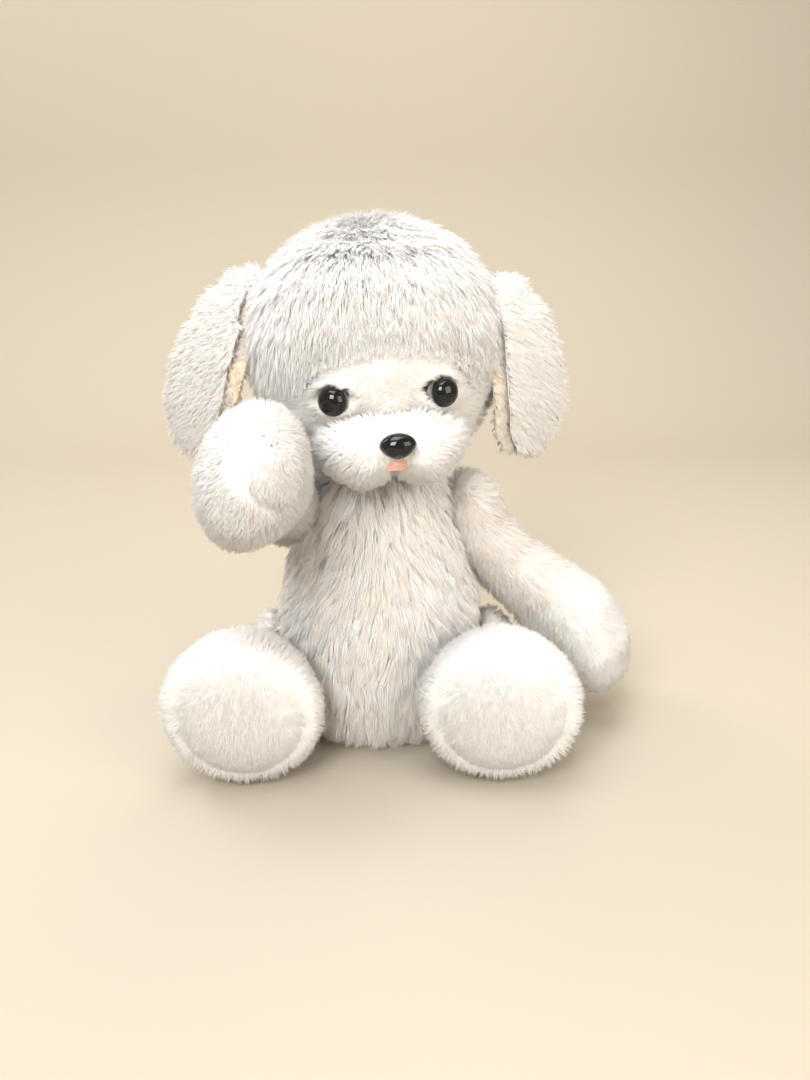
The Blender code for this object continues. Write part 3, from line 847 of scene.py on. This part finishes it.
def make_mouth(muzzle):
    """A tongue of felt, on the muzzle just under the nose."""
    tree = BVHTree.FromObject(muzzle, bpy.context.evaluated_depsgraph_get())
    across, up = Vector(HEAD_TURN[:, 0]), Vector(HEAD_TURN[:, 2])
    middle = HEAD_FOOT + Vector(HEAD_TURN @ MOUTH) * MM
    panel = panel_on("mouth_felt", tree, middle, across, up, 4.3 * MM, 4.2 * MM,
                     1.6 * MM, 0.5 * MM, 10, 28, 0.4)
    wear(panel, FELT)
    claim(panel, "head", "felt", "mouth")


def panel_on(name, tree, middle, across, up, wide, tall, rise, sink, rows, around, point=0.0):
    """A domed panel laid on a skin: rings out to an oval edge, and a back under it."""
    bm = bmesh.new()
    sheets = []
    for face in (1, -1):
        loops = []
        for row in range(rows + 1):
            share = row / rows
            loop = []
            for step in range(1 if row == 0 else around):
                turn = 2 * math.pi * step / around
                narrow = 1 - point * max(math.sin(turn), 0) * 0.6
                offset = across * wide * math.cos(turn) * narrow + up * tall * math.sin(turn)
                offset = offset * share
                hit, normal = tree.find_nearest(middle + offset)[:2]
                if face > 0:
                    height = rise * (1 - share ** 4) - sink * share ** 8
                else:
                    height = -sink * (1 + 0.5 * (1 - share))
                loop.append(bm.verts.new(hit + normal * height))
            loops.append(loop)
        sheets.append(loops)
    for loops in sheets:
        join_loops(bm, loops, around)
    front, back = sheets[0][-1], sheets[1][-1]
    for step in range(around):
        after = (step + 1) % around
        bm.faces.new([front[step], front[after], back[after], back[step]])
    bmesh.ops.recalc_face_normals(bm, faces=bm.faces)
    return object_of(name, bm)


# ---------------------------------------------------------------- the body, limbs, ears and tail

def make_body_skin():
    side = Vector((1, 0, 0))
    spine = [band_centre("body_cover", (0, 0, 0), 0, 10) + Vector((0, 0, z)) * MM for z in (-40, 30)]
    body = spine_form("body_skin", "body_cover", spine, side, 60, 72)
    smooth(body, 6)
    puff(body, 2.0 * MM)
    inset(body, 3.0)
    wear(body, CLOTH)
    claim(body, "torso", "plush_long", "body_cover", "body_stuffing")
    tail = spine_form("tail_skin", "tail", [centre_of("tail")], side, 24, 32)
    smooth(tail, 3)
    inset(tail, 1.5)
    wear(tail, CLOTH)
    claim(tail, "torso", "plush_short", "tail")
    return body, tail


SEAT_BARE = 6 * MM  # below this the body has no undercoat


def coat_body(body, tail):
    skin = Skin(body)

    def downwards(roots, normals):
        comb = np.zeros_like(roots)
        comb[:, 2] = -1
        comb[:, 0] = 5.0 * roots[:, 0]
        part = np.sin(roots[:, 0] / MM / 9 + roots[:, 2] / MM / 17)
        comb[:, 0] += 0.25 * part
        return comb

    def front(low, high):
        def keep(roots, normals):
            inside = (roots[:, 2] >= low * MM) & (roots[:, 2] < high * MM)
            return inside & (roots[:, 1] < 0)
        return keep

    def back(roots, normals):
        return (roots[:, 1] >= 0) & (roots[:, 2] > SEAT_BARE)

    def long_in_the_middle(roots, normals):
        side = ramp(np.abs(roots[:, 0]), 18 * MM, 46 * MM)
        low = ramp(roots[:, 2], 10 * MM, 45 * MM)
        return (24 - 7 * side - 6 * (1 - low)) * MM

    # Painted shade: the chest palette stays whiter, and the flank palette's cream and warm strands darken
    # the sides, the back, the tail and the deep undercoat.
    chest = [(COOL, 0.15), (WHITE, 0.45), (WARM, 0.3), (CREAM, 0.1)]
    flank_painted_shade = [(WHITE, 0.3), (WARM, 0.4), (CREAM, 0.3)]
    for name, low, high in (("belly_pile", 6, 70), ("chest_pile", 70, 170)):
        grow(name, "torso", "plush_long", skin, 3.0, front(low, high), long_in_the_middle, downwards,
             chest, (0.7, 0.2), 0.3, 0.44, 3, (24, 0.4), 0.24)

    def off_floor(roots, normals):
        return roots[:, 2] > SEAT_BARE

    grow("body_undercoat", "torso", "plush_long", skin, 1.6, off_floor, steady(8), downwards,
         flank_painted_shade, (0.8, 0.4), 0.1, 0.5, 1, (6, 0.1), 0.3)
    grow("back_pile", "torso", "plush_long", skin, 1.1, back, steady(15), downwards, flank_painted_shade,
         (0.7, 0.2), 0.25, 0.5, 3, (26, 0.5), 0.28)

    def backwards(roots, normals):
        return np.tile(np.array((0, 1.0, 0.2)), (len(roots), 1))

    grow("tail_pile", "torso", "plush_short", Skin(tail), 2.2, everywhere, steady(7), backwards,
         flank_painted_shade, (0.7, 0.4), 0, 0.5, 1, (10, 0.5))


def limb_spine(node, joint, marks):
    origin = Vector(JOINTS[joint]["pos_m"])
    return [band_centre(node, origin, near * MM, far * MM) for near, far in marks]


ARM_MARKS = ((0, 30), (35, 60), (62, 88), (92, 112))
LEG_MARKS = ((0, 26), (26, 44), (62, 100))


PALM_HALF_WIDE = 15.5 * MM
PALM_HALF_TALL = 19 * MM
WRIST = 0.066  # how far down the arm the paw's coat starts


def make_arm(side):
    sign = SIDES[side]
    body = f"arm_{side}"
    joint = f"shoulder_{side}_turn"
    spine = limb_spine(f"{body}_cover", joint, ARM_MARKS)
    out = Vector((sign, 0, 0.3))
    arm = spine_form(f"{body}_skin", f"{body}_cover", spine, out, 72, 56, 0.22)
    smooth(arm, 6)
    puff(arm, 2.5 * MM)
    inset(arm, 3.0)
    wear(arm, CLOTH)
    claim(arm, body, "plush_short", f"{body}_cover", f"{body}_stuffing")

    pad_middle = centre_of(f"palm_pad_{side}")
    tree = BVHTree.FromObject(arm, bpy.context.evaluated_depsgraph_get())
    hit, normal = tree.find_nearest(pad_middle)[:2]
    along = (spine[-1] - spine[-2]).normalized()
    across = along.cross(normal).normalized()
    up = normal.cross(across)
    palm = panel_on(f"palm_skin_{side}", tree, hit, across, up, PALM_HALF_WIDE, PALM_HALF_TALL,
                    2.6 * MM, 0.8 * MM, 12, 40)
    wear(palm, CLOTH)
    claim(palm, body, "plush_short", f"palm_pad_{side}")
    return arm, palm, hit, normal, across, up, spine


def coat_arm(side, arm, palm, middle, normal, across, up, spine):
    body = f"arm_{side}"
    sign = SIDES[side]
    root, tip = np.array(spine[0]), np.array(spine[-1])
    along = unit(tip - root)
    middle, across, up = (np.array(v) for v in (middle, across, up))
    out = np.array(normal)

    def off_panel(roots, normals):
        apart = roots - middle
        u = apart @ across / PALM_HALF_WIDE
        v = apart @ up / (20.5 * MM)
        return ~((u * u + v * v < 1) & ((normals @ out) > 0.1))

    def to_paw(roots, normals):
        reach = (roots - root) @ along
        comb = np.tile(along, (len(roots), 1))
        comb[:, 2] -= 0.2
        end = ramp(reach, 0.07, 0.10)
        apart = roots - middle
        edge = np.hypot(apart @ across / (16 * MM), apart @ up / (21 * MM))
        beside = np.exp(-((edge - 1.12) / 0.22) ** 2) * ((normals @ out) > 0)
        droop = np.array((0.3 * sign, -0.5, -0.7))
        comb = comb * (1 - end)[:, None] + droop * end[:, None]
        return comb + unit(apart) * (0.8 * beside * (1 - end))[:, None]

    def length(roots, normals):
        reach = (roots - root) @ along
        return (8.0 - 2.6 * ramp(reach, 0.03, 0.085)) * MM

    # Painted shade: the upper arm's peach and warm strands make it darker than the whiter paw.
    upper = [(WHITE, 0.35), (WARM, 0.35), (PEACH, 0.3)]
    paw = [(COOL, 0.25), (WHITE, 0.6), (WARM, 0.15)]
    skin = Skin(arm)

    def on_paw(roots, normals):
        return ((roots - root) @ along > WRIST) & off_panel(roots, normals)

    def on_arm(roots, normals):
        return (roots - root) @ along <= WRIST

    grow(f"{body}_pile", body, "plush_short", skin, 1.7, on_arm, length, to_paw, upper,
         (0.7, 0.35), 0.1, 0.5, 1, (9, 0.4))
    grow(f"paw_{side}_pile", body, "plush_short", skin, 2.3, on_paw, length, to_paw, paw,
         (0.8, 0.5), 0.05, 0.48, 1, (8, 0.35))

    def outwards(roots, normals):
        return along * 0.5 + np.array((0, 0, -0.7)) + (roots - middle) / (40 * MM)

    grow(f"palm_{side}_pile", body, "plush_short", Skin(palm), 2.8, faces_out(out), steady(4.6),
         outwards, paw, (0.6, 0.3), 0.0, 0.46, 1, (8, 0.3))


def faces_out(out):
    return lambda roots, normals: (normals @ out) > 0.15


SOLE_HALF_WIDE = 33 * MM
SOLE_HALF_TALL = 33.5 * MM
ANKLE = -44 * MM  # the foot's coat is in front of this


def make_leg(side):
    sign = SIDES[side]
    body = f"leg_{side}"
    spine = limb_spine(f"{body}_cover", f"hip_{side}_turn", LEG_MARKS)
    leg = spine_form(f"{body}_skin", f"{body}_cover", spine, Vector((sign, 0, 0)), 72, 64, 0.3)
    smooth(leg, 6)
    puff(leg, 2.0 * MM)
    inset(leg, 3.0)
    lift(leg, SKIN_FLOOR)
    wear(leg, CLOTH)
    claim(leg, body, "plush_short", f"{body}_cover", f"{body}_stuffing")
    tree = BVHTree.FromObject(leg, bpy.context.evaluated_depsgraph_get())
    middle = centre_of(f"sole_pad_{side}")
    sole = panel_on(f"sole_skin_{side}", tree, middle, Vector((1, 0, 0)), Vector((0, 0, 1)),
                    SOLE_HALF_WIDE, SOLE_HALF_TALL, 5.5 * MM, 1.2 * MM, 18, 64)
    lift(sole, SOLE_FLOOR)
    puff(sole, 1.0 * MM)
    wear(sole, CLOTH)
    claim(sole, body, "plush_short", f"sole_pad_{side}")
    return leg, sole, middle


def coat_leg(side, leg, sole, middle):
    body = f"leg_{side}"
    middle = np.array(middle)
    skin = Skin(leg)

    def edge_of(roots):
        apart = roots - middle
        return np.hypot(apart[:, 0], apart[:, 2]) / SOLE_HALF_TALL

    def on_foot(roots, normals):
        under_sole = (edge_of(roots) < 0.97) & (normals[:, 1] < -0.5)
        return (roots[:, 1] < ANKLE) & ~under_sole & (roots[:, 2] > 0.6 * MM)

    def on_thigh(roots, normals):
        return (roots[:, 1] >= ANKLE) & (roots[:, 2] > 1.5 * MM)

    def from_seam(roots, normals):
        apart = roots - middle
        apart[:, 1] = 0
        away = unit(apart)
        near = np.exp(-((edge_of(roots) - 1.05) / 0.15) ** 2) * (normals[:, 1] < -0.2)
        comb = away * (0.3 + near)[:, None]
        comb[:, 1] += 0.35
        comb[:, 2] -= 0.2
        return comb

    def foot_length(roots, normals):
        near = np.exp(-((edge_of(roots) - 1.0) / 0.10) ** 2) * (normals[:, 1] < -0.3)
        return (5.4 - 1.6 * near) * MM

    def forwards(roots, normals):
        return np.tile(np.array((0, -1.0, -0.4)), (len(roots), 1))

    foot = [(COOL, 0.2), (WHITE, 0.65), (WARM, 0.15)]
    grow(f"foot_{side}_pile", body, "plush_short", skin, 2.1, on_foot, foot_length, from_seam,
         foot, (0.8, 0.5), 0.05, 0.48, 1, (8, 0.35))
    # Painted shade: the thigh's cream and warm strands make it darker than the whiter foot.
    grow(f"thigh_{side}_pile", body, "plush_short", skin, 1.1, on_thigh, steady(6), forwards,
         [(WHITE, 0.4), (WARM, 0.4), (CREAM, 0.2)], (0.7, 0.4), 0.1, 0.5, 1, (9, 0.4))

    def outwards(roots, normals):
        return (roots - middle) / (66 * MM) + np.array((0, 0, -0.8))

    def sole_length(roots, normals):
        return (4.4 - 1.4 * ramp(edge_of(roots), 0.8, 1.0)) * MM

    grow(f"sole_{side}_pile", body, "plush_short", Skin(sole), 2.8, faces_out(np.array((0, -1.0, 0))),
         sole_length, outwards, foot, (0.6, 0.3), 0.0, 0.46, 1, (8, 0.3))


LINING_SHOWS = 6 * MM  # how far the lining stands out past the back, next to the head
EAR_WRAP = -0.8  # how far round the edge the back's coat reaches
EAR_ACROSS = {"left": (0.8, 0.6, 0), "right": (0.83, -0.55, 0)}
EAR_MARKS = ((0, 12), (16, 30), (36, 52), (56, 72), (76, 100))


def make_ear(side):
    sign = SIDES[side]
    made = []
    for layer in ("back", "lining"):
        node = f"ear_{layer}_{side}"
        spine = limb_spine(node, f"ear_{side}_flap", EAR_MARKS)
        across = Vector(EAR_ACROSS[side])
        ear = spine_form(f"{node}_skin", node, spine, across, 80, 56, 0.16, 0.12)
        smooth(ear, 4, False)
        puff(ear, 1.0 * MM)
        inset(ear, 0.8)
        if layer == "lining":
            inwards = across * (-sign * LINING_SHOWS)
            set_points(ear, get_points(ear) + np.array(inwards))
        wear(ear, CLOTH if layer == "back" else LINING)
        claim(ear, f"ear_{side}", "plush_short" if layer == "back" else "plush_lining", node)
        made.append(ear)
    return made


def coat_ear(side, back, lining):
    body = f"ear_{side}"
    sign = SIDES[side]
    middles = [get_points(ear).mean(0) for ear in (back, lining)]
    out = unit(middles[0] - middles[1])

    def hanging(roots, normals):
        comb = np.tile(np.array((0.25 * sign, 0, -1.0)), (len(roots), 1))
        return comb + out * 0.1

    def outside(roots, normals):
        return (normals @ out) > EAR_WRAP

    grow(f"ear_{side}_pile", body, "plush_short", Skin(back), 2.3, outside, steady(6.5), hanging,
         [(COOL, 0.15), (WHITE, 0.55), (WARM, 0.3)], (0.75, 0.45), 0.1, 0.46, 1, (9, 0.4))
    # The lining's cream and peach strands are partly its own tint and partly painted shade inside the ear.
    grow(f"ear_{side}_lining_pile", body, "plush_lining", Skin(lining), 2.4, everywhere, steady(5),
         hanging, [(WARM, 0.2), (CREAM, 0.6), (PEACH, 0.2)], (0.75, 0.45), 0.1, 0.42, 1, (9, 0.4))


# ---------------------------------------------------------------- what the cloth hides

def dress_hardware():
    kinds = {"disc": BOARD, "bolt": STEEL, "nut": STEEL, "washer": PLASTIC, "inner_washer": STEEL,
             "outer_washer": STEEL}
    for node, obj in frame["nodes"].items():
        for word, material in kinds.items():
            if node.endswith(word) or word in node.split("_"):
                obj.data.materials.clear()
                obj.data.materials.append(material)


make_camera()
make_studio()
make_floor()
dress_hardware()
head_skin, muzzle_skin = make_head_skins()
make_features()
make_mouth(muzzle_skin)
coat_head(head_skin, muzzle_skin)
body_skin, tail_skin = make_body_skin()
coat_body(body_skin, tail_skin)
for one_side in SIDES:
    coat_arm(one_side, *make_arm(one_side))
    coat_leg(one_side, *make_leg(one_side))
    coat_ear(one_side, *make_ear(one_side))
